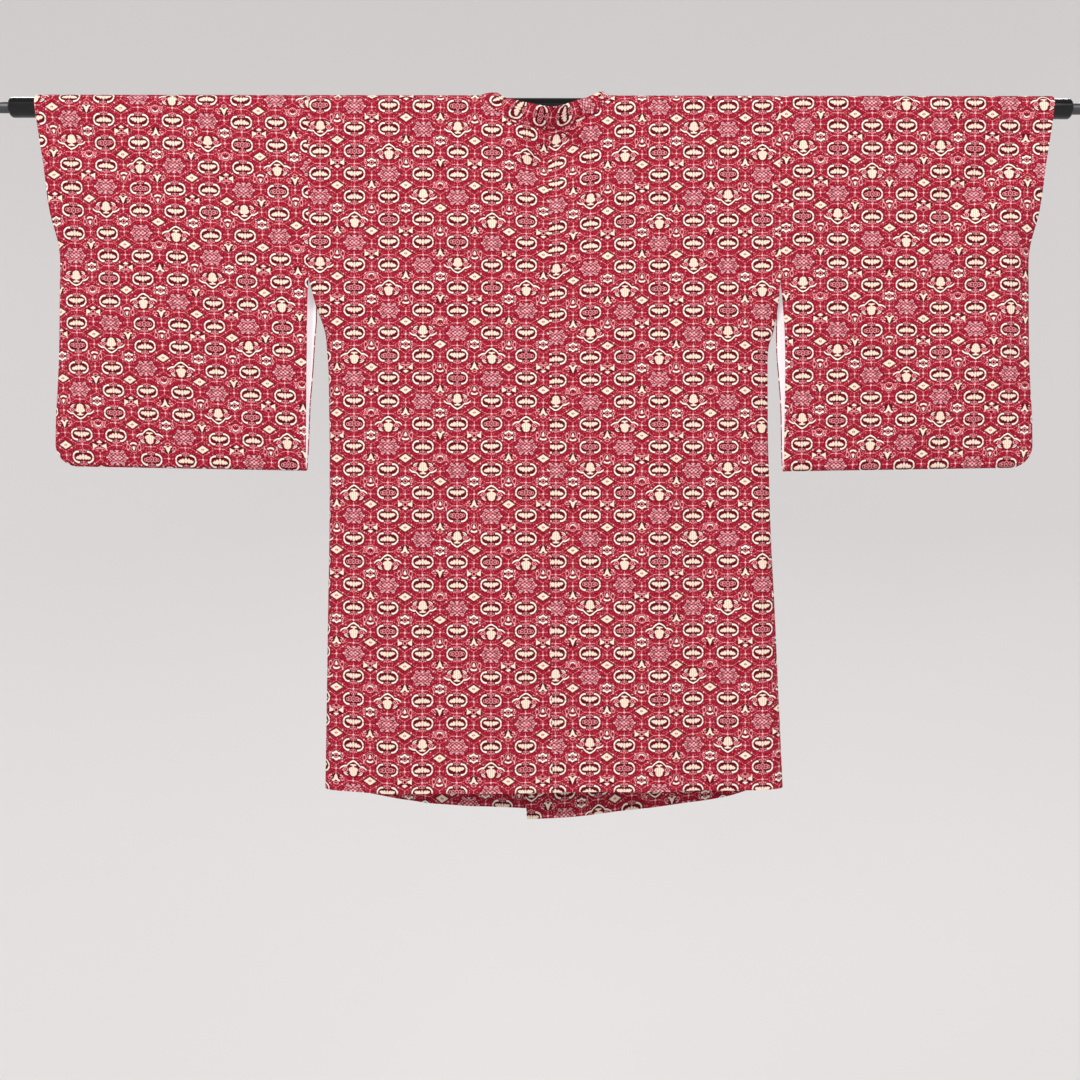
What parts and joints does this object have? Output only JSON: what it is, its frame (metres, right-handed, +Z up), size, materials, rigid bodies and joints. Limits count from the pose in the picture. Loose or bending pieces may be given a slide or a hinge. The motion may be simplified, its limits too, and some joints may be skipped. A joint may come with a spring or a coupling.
{
  "type": "michiyuki coat on a kimono rod",
  "caption": "Japanese dress coat with square front neck and wide sleeves, hung open by its sleeves on a straight round rod.",
  "frame": {"origin": "middle of the rod's axis, where the rod is held level; the coat hangs below it", "axes": "+X along the rod, +Z up, the coat's back faces -Y and its front faces +Y"},
  "size_m": [1.4606, 0.0573, 0.9475],
  "materials": {
    "outer_cloth": "matt crepe silk, deep red with a small cream, pink and maroon komon repeat",
    "lining_cloth": "smooth pale lining silk with a soft sheen",
    "rod_black": "gloss black enamel",
    "rod_grey": "satin grey steel"
  },
  "bodies": {
    "root": {"body_left": "outer_cloth", "body_right": "outer_cloth", "sleeve_left": "outer_cloth", "sleeve_right": "outer_cloth", "sleeve_lining_left": "lining_cloth", "sleeve_lining_right": "lining_cloth", "front_band_left": "outer_cloth", "front_band_right": "outer_cloth", "collar": "outer_cloth", "button_upper": "outer_cloth", "button_lower": "outer_cloth", "rod_tube": "rod_black", "rod_end_left": "rod_grey", "rod_end_right": "rod_grey"}
  },
  "joints": []
}
